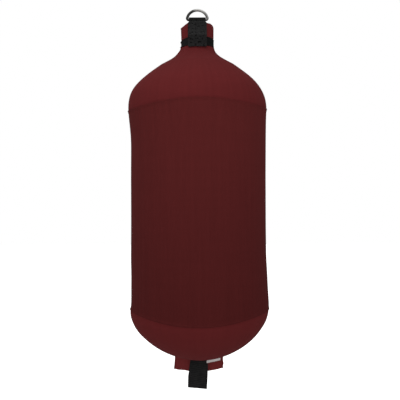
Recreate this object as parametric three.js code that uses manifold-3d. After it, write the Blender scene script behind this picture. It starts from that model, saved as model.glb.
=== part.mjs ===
// A cylindrical boat fender: an air bladder in a stretch fabric cover with a second, darker
// sleeve round its middle. It hangs from a D-ring in a webbing strap over its gathered neck,
// and a webbing loop for a tie line hangs from its tail.
// Millimetres, +Z up. The origin is the inside of the ring's top, where the hook bears.
import * as THREE from "three";
import { mergeVertices } from "three/addons/utils/BufferGeometryUtils.js";
import Module from "manifold-3d";

// The layers of cloth and the space between two pieces that lie on each other
const clearance = 0.3;
const coverWall = 1.2;
const sleeveWall = 1.2;

// The steel D-ring, measured to the middle of its wire
const ringWire = 7;
const ringArcRadius = 27.9;
const ringCornerRadius = 4.5;
const ringBarRise = 2.5;

// Webbing of the hanging strap and of the tail loop
const webbingThickness = 2.6;
const strapWidth = 49;
const strapFoldWidth = 43;
const strapBackLength = 38;
const strapEndOverhang = 4.2;
const strapEndLift = 1;
const foldSteps = 8;
const strapWidthSteps = 8;
const tailLoopWidth = 50;
const tailLoopGap = 9;
const tailLoopReach = 42;
const tailLoopOffset = -3;

// The gathered neck, from the crest under the ring's bar down to the elastic band
const crestDrop = 8;
const crestHalfWidth = 26;
const crestHalfDepth = 6.5;
const cornerHalfWidth = 43.6;
const cornerDrop = 16.5;
const neckHalfWidth = 41.2;
const neckHalfDepth = 29;
const neckLength = 44;
const bandHeight = 22.5;
const bandThickness = 1.8;
const bandSwell = 2;
const bandSwellDrop = 2;
const roundingLength = 54;
const crestShares = [0.35, 0.65, 0.85, 1];

// The inflated body: upper end, barrel and lower end
const barrelRadius = 175.5;
const seamBulge = 5.5;
const barrelLength = 527;
const upperBulgeLength = 80;
const lowerBulgeLength = 170;
const upperEndHeight = 159;
const upperEndHandle = 44.5;
const shoulderRadius = 101.5;
const shoulderHeight = 108;
const shoulderSlopeDegrees = 36.5;
const shoulderHandle = 70;
const hollowHandle = 5;
const neckHandle = 19.5;
const lowerEndHeight = 130;
const lowerEndHandle = 52;
const tailHandle = 96.5;

// The darker sleeve, from just under the upper bulge to just under the lower one
const sleeveDrop = 4.5;
const sleeveLength = 525.5;
const sleeveEdgeTaper = 2;

// The hemmed tail, a flat oval skirt under the lower end
const tailHalfWidth = 65;
const tailHalfDepth = 26;
const tailLength = 30;
const tailWall = 1.8;
const hemHeight = 6;
const hemExtra = 0.8;
const tailSeamRise = 58.5;

// The valve in the neck
const valveSeatRadius = 24;
const valveSeatDrop = 9;
const bladderTopSag = 0.2;
const valveFlangeRadius = 19.2;
const valveFlangeThickness = 2;
const valveBarrelRadius = 11;
const valveBarrelHeight = 34;
const valveBoreRadius = 6;
const valveBoreDepth = 24;
const valveCapRadius = 14;
const valveCapHeight = 18;
const valveCapTop = 4;
const valveCapEdge = 1;

// The blank sewn-in label
const labelWidth = 36;
const labelHeight = 9;
const labelThickness = 0.8;
const labelSteps = 8;

// How finely round shapes are divided
const bodySegments = 36;
const outlineDivisions = 6;
const wireSides = 10;
const ringSteps = 56;

// Heights that follow from the sizes above
const ringArcZ = -(ringArcRadius - ringWire / 2);
const barZ = ringArcZ + ringBarRise;
const crestZ = barZ - crestDrop;
const cornerZ = crestZ - cornerDrop;
const bandTopZ = crestZ - neckLength;
const bandBottomZ = bandTopZ - bandHeight;
const neckFootZ = bandBottomZ - bandSwellDrop;
const underBandRadius = neckHalfWidth + bandSwell;
const upperDomeZ = neckFootZ - upperEndHeight;
const lowerDomeZ = upperDomeZ - barrelLength;
const lowerPoleZ = lowerDomeZ - lowerEndHeight;
const tailHemZ = lowerPoleZ - tailLength;
const bulgeRadius = barrelRadius + seamBulge;
const neckInnerRadius = neckHalfWidth - coverWall - clearance;
const valveSeatZ = bandBottomZ - valveSeatDrop;
const valveFootZ = valveSeatZ + clearance;

// The crest's plain upper edge and its two ways down to the corners: a straight fold on the
// left, a round shoulder on the right. Each gives how far the side is drawn in at a height.
function drawnInWidth(z, side) {
  if (z <= bandTopZ) return 0;
  if (z <= cornerZ) {
    const share = (z - bandTopZ) / (cornerZ - bandTopZ);
    return (neckHalfWidth - cornerHalfWidth) * share;
  }
  const share = Math.min(1, (z - cornerZ) / (crestZ - cornerZ));
  const straight = cornerHalfWidth - (cornerHalfWidth - crestHalfWidth) * share;
  const round = crestHalfWidth + (cornerHalfWidth - crestHalfWidth) * Math.sqrt(1 - share * share);
  return neckHalfWidth - (side < 0 ? straight : round);
}

// How far the front and back are drawn in: round on the shoulder, oval at the band, and
// pinched nearly flat at the crest.
function drawnInDepth(z) {
  if (z <= bandBottomZ) {
    const share = THREE.MathUtils.smoothstep(z, bandBottomZ - roundingLength, bandBottomZ);
    return (neckHalfWidth - neckHalfDepth) * share;
  }
  return neckHalfWidth - neckHalfDepthAt(z);
}

function neckHalfDepthAt(z) {
  const share = THREE.MathUtils.clamp((z - bandTopZ) / (crestZ - bandTopZ), 0, 1);
  return neckHalfDepth + (crestHalfDepth - neckHalfDepth) * share;
}

// Draws a round body in to the neck's shape. All that lies outside the bladder moves by the
// same amount at one height, so layers keep their thickness and their space.
function gatherNeck(geometry) {
  const position = geometry.getAttribute("position");
  for (let i = 0; i < position.count; i++) {
    const x = position.getX(i);
    const y = position.getY(i);
    const z = position.getZ(i);
    const radius = Math.hypot(x, y);
    if (radius < 1e-6) continue;
    const share = Math.min(1, radius / neckInnerRadius) / radius;
    position.setX(i, x * (1 - drawnInWidth(z, x) * share));
    position.setY(i, y * (1 - drawnInDepth(z) * share));
  }
  return geometry;
}

// The outside of the cover in half section, from the tail's pole up to the crest
function coverOutline() {
  const path = new THREE.Path();
  const slope = THREE.MathUtils.degToRad(shoulderSlopeDegrees);
  const slopeX = Math.cos(slope);
  const slopeZ = Math.sin(slope);
  const shoulderZ = upperDomeZ + shoulderHeight;
  const lowerFlatZ = lowerDomeZ + lowerBulgeLength;
  const upperFlatZ = upperDomeZ - upperBulgeLength;
  path.moveTo(0, lowerPoleZ);
  path.bezierCurveTo(
    tailHandle, lowerPoleZ, bulgeRadius, lowerDomeZ - lowerEndHandle, bulgeRadius, lowerDomeZ);
  path.bezierCurveTo(
    bulgeRadius, lowerDomeZ + lowerBulgeLength / 2,
    barrelRadius, lowerFlatZ - lowerBulgeLength / 2, barrelRadius, lowerFlatZ);
  path.lineTo(barrelRadius, (lowerFlatZ + upperFlatZ) / 2);
  path.lineTo(barrelRadius, upperFlatZ);
  path.bezierCurveTo(
    barrelRadius, upperFlatZ + upperBulgeLength / 2,
    bulgeRadius, upperDomeZ - upperBulgeLength / 2, bulgeRadius, upperDomeZ);
  path.bezierCurveTo(
    bulgeRadius, upperDomeZ + upperEndHandle,
    shoulderRadius + slopeX * shoulderHandle, shoulderZ - slopeZ * shoulderHandle,
    shoulderRadius, shoulderZ);
  path.bezierCurveTo(
    shoulderRadius - slopeX * hollowHandle, shoulderZ + slopeZ * hollowHandle,
    underBandRadius, neckFootZ - neckHandle, underBandRadius, neckFootZ);
  const points = path.getPoints(outlineDivisions);
  const neckSteps = [bandBottomZ, bandTopZ, (bandTopZ + cornerZ) / 2, cornerZ];
  for (const share of crestShares) {
    neckSteps.push(cornerZ + (crestZ - cornerZ) * share);
  }
  for (const z of neckSteps) points.push(new THREE.Vector2(neckHalfWidth, z));
  return points;
}

// Moves a half section inwards along its own normals
function inset(points, distance) {
  const last = points.length - 1;
  return points.map((point, i) => {
    const before = points[Math.max(0, i - 1)];
    const after = points[Math.min(last, i + 1)];
    const along = after.clone().sub(before).normalize();
    if (i === 0) along.set(1, 0);
    if (i === last) along.set(0, 1);
    return new THREE.Vector2(
      Math.max(0, point.x - along.y * distance), point.y + along.x * distance);
  });
}

const outline = coverOutline();

function coverRadiusAt(z) {
  for (let i = 1; i < outline.length; i++) {
    const low = outline[i - 1];
    const high = outline[i];
    if (z <= high.y) return low.x + (high.x - low.x) * (z - low.y) / (high.y - low.y);
  }
  return neckHalfWidth;
}

// A half section, which starts and ends on the axis or closes on itself, turned about Z
function turned(points, segments) {
  return new THREE.LatheGeometry(points, segments).rotateX(Math.PI / 2);
}

const wasm = await Module();
wasm.setup();

function toSolid(geometry) {
  const bare = geometry.index ? geometry.toNonIndexed() : geometry.clone();
  bare.deleteAttribute("normal");
  bare.deleteAttribute("uv");
  const merged = mergeVertices(bare, 1e-4);
  return new wasm.Manifold(new wasm.Mesh({
    numProp: 3,
    vertProperties: merged.getAttribute("position").array,
    triVerts: new Uint32Array(merged.index.array),
  }));
}

function toGeometry(solid) {
  const mesh = solid.getMesh();
  const geometry = new THREE.BufferGeometry();
  geometry.setAttribute("position", new THREE.BufferAttribute(mesh.vertProperties, 3));
  geometry.setIndex(new THREE.BufferAttribute(mesh.triVerts, 1));
  geometry.computeVertexNormals();
  return geometry;
}

// An upright oval tube between two heights
function ovalTube(halfWidth, halfDepth, wall, lowZ, highZ) {
  const shape = new THREE.Shape();
  const hole = new THREE.Path();
  shape.absellipse(0, 0, halfWidth, halfDepth, 0, 2 * Math.PI);
  hole.absellipse(0, 0, halfWidth - wall, halfDepth - wall, 0, 2 * Math.PI);
  shape.holes.push(hole);
  const geometry = new THREE.ExtrudeGeometry(shape, {
    depth: highZ - lowZ, bevelEnabled: false, curveSegments: bodySegments / 2,
  });
  return geometry.translate(0, 0, lowZ);
}

// A strip of webbing: its middle line in side view (y, z), thickened and drawn out along X
function webbing(middleLine, thickness, width, steps) {
  const last = middleLine.length - 1;
  const sides = [[], []];
  middleLine.forEach((point, i) => {
    const before = middleLine[Math.max(0, i - 1)];
    const after = middleLine[Math.min(last, i + 1)];
    const along = after.clone().sub(before).normalize();
    const across = new THREE.Vector2(-along.y, along.x).multiplyScalar(thickness / 2);
    sides[0].push(point.clone().add(across));
    sides[1].unshift(point.clone().sub(across));
  });
  const shape = new THREE.Shape([...sides[0], ...sides[1]]);
  const geometry = new THREE.ExtrudeGeometry(shape, { depth: width, bevelEnabled: false, steps });
  geometry.translate(0, 0, -width / 2);
  const turn = new THREE.Matrix4().set(0, 0, 1, 0, 1, 0, 0, 0, 0, 1, 0, 0, 0, 0, 0, 1);
  return geometry.applyMatrix4(turn);
}

// The cover: one fabric shell, open at the crest, with the hemmed tail sewn under it
function makeCover() {
  const inner = inset(outline, coverWall);
  const closed = [...outline, new THREE.Vector2(0, crestZ)];
  const outside = toSolid(gatherNeck(turned(closed, bodySegments)));
  const mouth = [...inner, new THREE.Vector2(inner.at(-1).x, crestZ + coverWall),
    new THREE.Vector2(0, crestZ + coverWall)];
  const hollow = toSolid(gatherNeck(turned(mouth, bodySegments)));
  const tailTopZ = lowerPoleZ + tailSeamRise;
  const tail = toSolid(ovalTube(tailHalfWidth, tailHalfDepth, tailWall, tailHemZ, tailTopZ));
  const hem = toSolid(ovalTube(
    tailHalfWidth + hemExtra, tailHalfDepth + hemExtra, tailWall + hemExtra,
    tailHemZ, tailHemZ + hemHeight));
  return toGeometry(outside.add(tail).add(hem).subtract(hollow));
}

// The darker sleeve lies on the cover, thinned where its ends are sewn down.
function makeWearSleeve() {
  const highZ = upperDomeZ - sleeveDrop;
  const lowZ = highZ - sleeveLength;
  const inside = clearance;
  const outside = clearance + sleeveWall;
  const edge = inside + sleeveWall / 2;
  const stations = outline.map((point) => point.y).filter(
    (z) => z > lowZ + sleeveEdgeTaper && z < highZ - sleeveEdgeTaper);
  const layer = (z, depth) => new THREE.Vector2(coverRadiusAt(z) + depth, z);
  return turned([
    layer(lowZ, inside),
    layer(lowZ, edge),
    layer(lowZ + sleeveEdgeTaper, outside),
    ...stations.map((z) => layer(z, outside)),
    layer(highZ - sleeveEdgeTaper, outside),
    layer(highZ, edge),
    layer(highZ, inside),
    ...stations.toReversed().map((z) => layer(z, inside)),
    layer(lowZ, inside),
  ], bodySegments);
}

// The inflated bladder fills the cover and ends in a flat seat for the valve's flange.
function makeBladder() {
  const skin = inset(outline, coverWall + clearance);
  const shoulderTopZ = valveSeatZ - valveSeatDrop;
  const body = skin.filter((point) => point.y < shoulderTopZ);
  const rim = body.at(-1);
  const middle = new THREE.Vector2(
    (rim.x + valveSeatRadius) / 2, valveSeatZ - (valveSeatZ - rim.y) * bladderTopSag);
  return gatherNeck(turned(
    [...body, middle, new THREE.Vector2(valveSeatRadius, valveSeatZ),
      new THREE.Vector2(0, valveSeatZ)],
    bodySegments));
}

function makeValveBody() {
  const flangeTopZ = valveFootZ + valveFlangeThickness;
  const topZ = valveFootZ + valveBarrelHeight;
  return turned([
    new THREE.Vector2(0, valveFootZ),
    new THREE.Vector2(valveFlangeRadius, valveFootZ),
    new THREE.Vector2(valveFlangeRadius, flangeTopZ),
    new THREE.Vector2(valveBarrelRadius, flangeTopZ),
    new THREE.Vector2(valveBarrelRadius, topZ),
    new THREE.Vector2(valveBoreRadius, topZ),
    new THREE.Vector2(valveBoreRadius, topZ - valveBoreDepth),
    new THREE.Vector2(0, topZ - valveBoreDepth),
  ], bodySegments / 2);
}

function makeValveCap() {
  const seatZ = valveFootZ + valveBarrelHeight + clearance;
  const topZ = seatZ + valveCapTop;
  const skirtZ = topZ - valveCapHeight;
  const inside = valveBarrelRadius + clearance;
  return turned([
    new THREE.Vector2(0, seatZ),
    new THREE.Vector2(inside, seatZ),
    new THREE.Vector2(inside, skirtZ),
    new THREE.Vector2(valveCapRadius, skirtZ),
    new THREE.Vector2(valveCapRadius, topZ - valveCapEdge),
    new THREE.Vector2(valveCapRadius - valveCapEdge, topZ),
    new THREE.Vector2(0, topZ),
  ], bodySegments / 2);
}

// The elastic band grips the neck above the shoulder.
function makeNeckBand() {
  const inside = neckHalfWidth + clearance;
  const outside = inside + bandThickness;
  const section = [
    new THREE.Vector2(inside, bandBottomZ),
    new THREE.Vector2(outside, bandBottomZ),
    new THREE.Vector2(outside, bandTopZ),
    new THREE.Vector2(inside, bandTopZ),
    new THREE.Vector2(inside, bandBottomZ),
  ];
  return gatherNeck(turned(section, bodySegments));
}

// The hanging strap runs up the neck's back, over the ring's bar and down the front to the
// band. It is squeezed narrow between the ring's corners and bends round the oval neck, and
// its free end lies on the cloth that swells under the band.
function makeHangingStrap() {
  const foldRadius = ringWire / 2 + clearance + webbingThickness / 2;
  const offSurface = clearance + webbingThickness / 2;
  const neckSlope = Math.atan2(neckHalfDepth - crestHalfDepth, neckLength);
  const offSlope = clearance + offSurface / Math.cos(neckSlope);
  const crestY = crestHalfDepth + offSlope;
  const backEndZ = crestZ - strapBackLength;
  const backEndY = neckHalfDepthAt(backEndZ) + offSlope;
  const bandFaceY = neckHalfDepth + clearance + bandThickness + clearance + offSurface;
  const line = [
    new THREE.Vector2(backEndY, backEndZ),
    new THREE.Vector2((backEndY + crestY) / 2, (backEndZ + crestZ) / 2),
    new THREE.Vector2(crestY, crestZ),
  ];
  for (let turn = 0; turn <= foldSteps; turn++) {
    const angle = Math.PI * turn / foldSteps;
    line.push(new THREE.Vector2(
      foldRadius * Math.cos(angle), barZ + foldRadius * Math.sin(angle)));
  }
  line.push(
    new THREE.Vector2(-crestY, crestZ),
    new THREE.Vector2(-(crestY + bandFaceY) / 2, (crestZ + bandTopZ) / 2),
    new THREE.Vector2(-bandFaceY, bandTopZ + webbingThickness),
    new THREE.Vector2(-bandFaceY, bandBottomZ),
    new THREE.Vector2(-(bandFaceY + strapEndLift), bandBottomZ - strapEndOverhang));
  const geometry = webbing(line, webbingThickness, strapWidth, strapWidthSteps);
  const position = geometry.getAttribute("position");
  for (let i = 0; i < position.count; i++) {
    const y = position.getY(i);
    const z = position.getZ(i);
    const squeeze = THREE.MathUtils.smoothstep(z, cornerZ, crestZ);
    const x = position.getX(i) * (1 + squeeze * (strapFoldWidth / strapWidth - 1));
    const reach = z > crestZ ? 0 : neckHalfDepthAt(z) - crestHalfDepth;
    const bend = reach * (1 - Math.sqrt(1 - (x / neckHalfWidth) ** 2));
    position.setX(i, x);
    position.setY(i, y - Math.sign(y) * bend);
  }
  return geometry;
}

// The ring's wire: a wide arc whose ends turn through small corners into the straight bar
class RingLine extends THREE.Curve {
  constructor() {
    super();
    const wireCornerZ = barZ + ringCornerRadius;
    const reach = ringArcRadius - ringCornerRadius;
    const cornerRise = ringBarRise + ringCornerRadius;
    const cornerX = Math.sqrt(reach * reach - cornerRise * cornerRise);
    const meet = Math.atan2(cornerRise, cornerX);
    this.path = new THREE.Path();
    this.path.moveTo(-cornerX, barZ);
    this.path.lineTo(cornerX, barZ);
    this.path.absarc(cornerX, wireCornerZ, ringCornerRadius, -Math.PI / 2, meet);
    this.path.absarc(0, ringArcZ, ringArcRadius, meet, Math.PI - meet);
    this.path.absarc(-cornerX, wireCornerZ, ringCornerRadius, Math.PI - meet, Math.PI * 1.5);
  }

  getPoint(t) {
    const point = this.path.getPointAt(t);
    return new THREE.Vector3(point.x, 0, point.y);
  }
}

function makeRing() {
  return new THREE.TubeGeometry(new RingLine(), ringSteps, ringWire / 2, wireSides, true);
}

// The tail loop is one strip folded in two, sewn under the lower end in front of the tail.
function makeTailLoop() {
  const half = webbingThickness / 2;
  const backY = -(tailHalfDepth + hemExtra + clearance + half);
  const frontY = backY - webbingThickness - clearance;
  const middleY = (backY + frontY) / 2;
  const bendRadius = (tailLoopGap + webbingThickness) / 2;
  const topZ = lowerPoleZ - clearance;
  const spreadZ = tailHemZ - clearance;
  const bendZ = tailHemZ - tailLoopReach + bendRadius + half;
  const line = [new THREE.Vector2(backY, topZ), new THREE.Vector2(backY, spreadZ)];
  for (let turn = 0; turn <= foldSteps; turn++) {
    const angle = -Math.PI * turn / foldSteps;
    line.push(new THREE.Vector2(
      middleY + bendRadius * Math.cos(angle), bendZ + bendRadius * Math.sin(angle)));
  }
  line.push(new THREE.Vector2(frontY, spreadZ), new THREE.Vector2(frontY, topZ));
  return webbing(line, webbingThickness, tailLoopWidth, 1).translate(tailLoopOffset, 0, 0);
}

// The label is caught in the seam beside the loop and follows the oval tail.
function makeCareLabel() {
  const startX = tailLoopOffset + tailLoopWidth / 2 + clearance;
  const faceY = (x, offset) =>
    -(tailHalfDepth + offset) * Math.sqrt(1 - (x / (tailHalfWidth + offset)) ** 2);
  const near = [];
  const far = [];
  for (let i = 0; i <= labelSteps; i++) {
    const x = startX + labelWidth * i / labelSteps;
    near.push(new THREE.Vector2(x, faceY(x, clearance + labelThickness)));
    far.unshift(new THREE.Vector2(x, faceY(x, clearance)));
  }
  const shape = new THREE.Shape([...near, ...far]);
  const geometry = new THREE.ExtrudeGeometry(shape, { depth: labelHeight, bevelEnabled: false });
  return geometry.translate(0, 0, lowerPoleZ - clearance - labelHeight);
}

const burgundy = new THREE.MeshStandardMaterial({ color: "#612425", roughness: 0.85, metalness: 0 });
const darkBurgundy = new THREE.MeshStandardMaterial({ color: "#552021", roughness: 0.9, metalness: 0 });
const blackWebbing = new THREE.MeshStandardMaterial({ color: "#1f1f1f", roughness: 0.95, metalness: 0 });
const blackElastic = new THREE.MeshStandardMaterial({ color: "#141414", roughness: 0.8, metalness: 0 });
const steel = new THREE.MeshStandardMaterial({ color: "#c4c4c4", roughness: 0.18, metalness: 1 });
const greyFilm = new THREE.MeshStandardMaterial({ color: "#5a5c60", roughness: 0.4, metalness: 0 });
const valvePlastic = new THREE.MeshStandardMaterial({ color: "#26282b", roughness: 0.5, metalness: 0 });
const whiteLabel = new THREE.MeshStandardMaterial({ color: "#e4e4e2", roughness: 0.7, metalness: 0 });

const fender = new THREE.Group();

function addPiece(name, geometry, material) {
  const mesh = new THREE.Mesh(geometry, material);
  mesh.name = name;
  fender.add(mesh);
}

addPiece("d_ring", makeRing(), steel);
addPiece("hanging_strap", makeHangingStrap(), blackWebbing);
addPiece("neck_band", makeNeckBand(), blackElastic);
addPiece("cover", makeCover(), burgundy);
addPiece("wear_sleeve", makeWearSleeve(), darkBurgundy);
addPiece("bladder", makeBladder(), greyFilm);
addPiece("valve_body", makeValveBody(), valvePlastic);
addPiece("valve_cap", makeValveCap(), valvePlastic);
addPiece("tail_loop", makeTailLoop(), blackWebbing);
addPiece("care_label", makeCareLabel(), whiteLabel);

export default fender;
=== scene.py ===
# %% [markdown]
# # A fabric-covered boat fender
# A cylindrical fender hangs between a boat and the dock. An air bladder fills a stretch fabric
# cover, a second and darker sleeve guards the middle, and the neck is gathered under a steel
# D-ring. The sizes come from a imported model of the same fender, which is loaded first and
# stays where it is. Each step below makes one piece in the place where that model has it.

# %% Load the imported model
import math
import random

import bpy
from mathutils import Matrix, Vector
from mathutils.geometry import interpolate_bezier


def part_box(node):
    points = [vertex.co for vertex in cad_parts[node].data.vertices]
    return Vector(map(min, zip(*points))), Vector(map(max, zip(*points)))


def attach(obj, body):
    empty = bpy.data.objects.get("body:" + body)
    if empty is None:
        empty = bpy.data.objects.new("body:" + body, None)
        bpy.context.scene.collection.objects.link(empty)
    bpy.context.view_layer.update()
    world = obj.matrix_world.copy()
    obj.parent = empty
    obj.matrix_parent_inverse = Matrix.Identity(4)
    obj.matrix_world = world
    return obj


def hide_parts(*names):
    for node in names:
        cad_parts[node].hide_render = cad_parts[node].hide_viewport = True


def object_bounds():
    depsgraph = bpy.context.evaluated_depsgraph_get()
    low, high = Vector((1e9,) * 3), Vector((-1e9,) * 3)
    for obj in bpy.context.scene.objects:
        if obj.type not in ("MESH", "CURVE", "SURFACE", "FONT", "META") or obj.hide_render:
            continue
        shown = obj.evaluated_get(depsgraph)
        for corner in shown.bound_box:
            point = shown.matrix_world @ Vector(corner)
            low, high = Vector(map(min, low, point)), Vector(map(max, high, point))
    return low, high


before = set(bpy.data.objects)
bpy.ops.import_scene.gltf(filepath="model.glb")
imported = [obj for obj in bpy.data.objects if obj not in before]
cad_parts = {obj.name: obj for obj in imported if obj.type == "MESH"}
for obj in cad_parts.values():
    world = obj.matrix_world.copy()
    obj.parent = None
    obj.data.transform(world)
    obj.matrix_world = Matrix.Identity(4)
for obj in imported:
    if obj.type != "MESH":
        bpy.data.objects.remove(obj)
cad_low, cad_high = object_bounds()
print("packed model:", [round(size, 4) for size in cad_high - cad_low])

# %% [markdown]
# ## Heights that every piece shares
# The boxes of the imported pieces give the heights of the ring, the band, the sleeve and the
# tail. Reading them here keeps the fabric on the solids that it dresses. All is in metres.

# %% Heights and layers
CLEARANCE = 0.0003
COVER_WALL = 0.0012

ring_low, ring_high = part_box("d_ring")
strap_low, strap_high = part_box("hanging_strap")
band_low, band_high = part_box("neck_band")
cover_low, cover_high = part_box("cover")
sleeve_low, sleeve_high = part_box("wear_sleeve")
bladder_low, bladder_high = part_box("bladder")
loop_low, loop_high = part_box("tail_loop")

crest_z = cover_high.z
pole_z = bladder_low.z - COVER_WALL - CLEARANCE
hem_z = cover_low.z
axis_top_z = ring_high.z
print("crest", round(crest_z, 4), "lower pole", round(pole_z, 4), "hem", round(hem_z, 4))

# %% [markdown]
# ## The camera
# The photograph looks straight at the fender from a little above its middle. A level camera
# with a small lens shift keeps the sides parallel, as they are in the picture. The distance
# follows from the lens and from how many millimetres one pixel covers.

# %% Camera
IMAGE_PIXELS = 400
FOCAL_PIXELS = 520
PIXEL_SIZE = 0.00265
HORIZON_ROW = 189
RING_TOP_ROW = 9
AXIS_COLUMN = 198.1
ROLL_DEGREES = 0.275
SENSOR_MM = 36

eye_distance = FOCAL_PIXELS * PIXEL_SIZE
eye_z = axis_top_z - (HORIZON_ROW - RING_TOP_ROW) * PIXEL_SIZE
eye_x = (IMAGE_PIXELS / 2 - AXIS_COLUMN) * PIXEL_SIZE

bpy.ops.object.select_all(action="DESELECT")
bpy.ops.object.camera_add(location=(eye_x, -eye_distance, eye_z))
camera = bpy.context.object
camera.data.sensor_width = SENSOR_MM
camera.data.lens = SENSOR_MM * FOCAL_PIXELS / IMAGE_PIXELS
camera.data.shift_y = (HORIZON_ROW - IMAGE_PIXELS / 2) / IMAGE_PIXELS
level = Matrix.Rotation(math.pi / 2, 3, "X")
roll = Matrix.Rotation(-math.radians(ROLL_DEGREES), 3, "Z")
camera.rotation_euler = (level @ roll).to_euler()
bpy.context.scene.camera = camera
print("camera", round(eye_distance, 3), "m away, lens", round(camera.data.lens, 1), "mm")

# %% [markdown]
# ## Colours and nodes
# Colours are read off as sRGB hex values, as on a paint chart, and the shader needs them
# linear, so one function turns them. A second one adds a node, sets it and links it, which
# keeps each material below as short as a recipe.

# %% Colour and node helpers
def linear(hex_colour):
    """An sRGB hex colour as linear red, green, blue and alpha."""
    channels = [int(hex_colour[i:i + 2], 16) / 255 for i in (1, 3, 5)]
    lifted = [c / 12.92 if c <= 0.04045 else ((c + 0.055) / 1.055) ** 2.4 for c in channels]
    return (*lifted, 1.0)


def add_node(tree, kind, settings=None, inputs=None):
    """Adds a shader node. An input is a value, or the output socket of a node to link."""
    node = tree.nodes.new("ShaderNode" + kind)
    for name, value in (settings or {}).items():
        setattr(node, name, value)
    for socket, value in (inputs or {}).items():
        if isinstance(value, bpy.types.NodeSocket):
            tree.links.new(value, node.inputs[socket])
        else:
            node.inputs[socket].default_value = value
    return node


def empty_tree(owner):
    """The node tree of a material or world, with nothing in it."""
    owner.use_nodes = True
    owner.node_tree.nodes.clear()
    return owner.node_tree


# %% [markdown]
# ## White surroundings and soft studio light
# The photograph has a white background and wide, soft light from the front. The world is white
# for the camera and gives a weaker fill to the fabric. What the polished ring mirrors is a
# studio: a bright ceiling, a darker room below it, and a dark wall behind the fender. The
# floor lies well under the hanging fender, is pale, and keeps its shadow.

# %% World
FILL_STRENGTH = 0.44
BRIGHTER_TO_RIGHT = 0.15
ROOM_HEIGHTS = (-0.5, 1.0)
ROOM_LIGHT = (0.02, 1.25)
WALL_STARTS = (0.3, 0.9)
WALL_LIGHT = (1.0, 0.15)

world = bpy.data.worlds.new("white_studio")
bpy.context.scene.world = world
tree = empty_tree(world)
path = add_node(tree, "LightPath")
towards = add_node(tree, "SeparateXYZ", None,
                   {0: add_node(tree, "TexCoord").outputs["Generated"]})
to_right = add_node(tree, "Math", {"operation": "MULTIPLY_ADD"},
                    {0: towards.outputs["X"], 1: BRIGHTER_TO_RIGHT, 2: towards.outputs["Z"]})
room = add_node(tree, "MapRange", None,
                {"Value": to_right.outputs[0],
                 "From Min": ROOM_HEIGHTS[0], "From Max": ROOM_HEIGHTS[1],
                 "To Min": ROOM_LIGHT[0], "To Max": ROOM_LIGHT[1]})
behind = add_node(tree, "MapRange", {"interpolation_type": "SMOOTHSTEP"},
                  {"Value": towards.outputs["Y"],
                   "From Min": WALL_STARTS[0], "From Max": WALL_STARTS[1],
                   "To Min": WALL_LIGHT[0], "To Max": WALL_LIGHT[1]})
mirrored = add_node(tree, "Math", {"operation": "MULTIPLY"},
                    {0: room.outputs[0], 1: behind.outputs[0]})
studio = add_node(tree, "Background", None,
                  {"Color": linear("#ffffff"), "Strength": mirrored.outputs[0]})
fill = add_node(tree, "Background", None,
                {"Color": linear("#fffeff"), "Strength": FILL_STRENGTH})
white = add_node(tree, "Background", None,
                 {"Color": linear("#ffffff"), "Strength": 1.0})
shiny = add_node(tree, "Math", {"operation": "MAXIMUM"},
                 {0: path.outputs["Is Glossy Ray"], 1: path.outputs["Is Transmission Ray"]})
lit = add_node(tree, "MixShader", None,
               {0: shiny.outputs[0], 1: fill.outputs[0], 2: studio.outputs[0]})
both = add_node(tree, "MixShader", None,
                {0: path.outputs["Is Camera Ray"], 1: lit.outputs[0], 2: white.outputs[0]})
add_node(tree, "OutputWorld", None, {"Surface": both.outputs[0]})

# %% Lamps and floor
FLOOR_DROP = 0.38
FLOOR_SIZE = 14


def add_softbox(name, place, target, width, height, power):
    """A rectangular area lamp that faces the target. The camera and the ring don't see it."""
    bpy.ops.object.select_all(action="DESELECT")
    bpy.ops.object.light_add(type="AREA", location=place)
    lamp = bpy.context.object
    lamp.name = name
    lamp.rotation_euler = (Vector(target) - Vector(place)).to_track_quat("-Z", "Y").to_euler()
    lamp.data.shape = "RECTANGLE"
    lamp.data.size = width
    lamp.data.size_y = height
    lamp.data.energy = power
    lamp.visible_camera = False
    lamp.visible_glossy = False


add_softbox("ceiling_softbox", (-0.38, -0.5, 1.1), (0, 0, -0.3), 1.6, 1.2, 10.2)
add_softbox("left_softbox", (-1.6, -0.9, -0.2), (0, 0, -0.4), 1.2, 1.2, 2.1)
add_softbox("front_strip", (0.25, -1.0, -0.25), (0, 0, -0.25), 1.8, 0.4, 3.5)
add_softbox("floor_strip", (0, -0.55, -1.33), (0, -0.05, -0.85), 1.2, 0.4, 0.4)

bpy.ops.object.select_all(action="DESELECT")
bpy.ops.mesh.primitive_plane_add(size=FLOOR_SIZE, location=(0, 0, cad_low.z - FLOOR_DROP))
floor = bpy.context.object
floor.name = "floor"
painted_floor = bpy.data.materials.new("matt white floor paint")
tree = empty_tree(painted_floor)
path = add_node(tree, "LightPath")
lift = add_node(tree, "Emission", None,
                {"Color": linear("#ffffff"), "Strength": path.outputs["Is Camera Ray"]})
paint = add_node(tree, "BsdfDiffuse", None, {"Color": linear("#f2f2f0")})
floor_look = add_node(tree, "AddShader", None,
                      {0: paint.outputs[0], 1: lift.outputs[0]})
add_node(tree, "OutputMaterial", None, {"Surface": floor_look.outputs[0]})
floor.data.materials.append(painted_floor)
bpy.context.scene.view_settings.view_transform = "Standard"

# %% [markdown]
# ## Woven and knitted finishes
# The cover is a dyed polyester stretch knit. It shows a very fine even grain, and ribs that
# run from the gathered neck down to the tail, because the knit's wales are pulled that way.
# Wales follow the direction round the axis, so the pattern is drawn on that direction in
# place of flat coordinates: it fans out over the ends and stays vertical on the sides.

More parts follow.
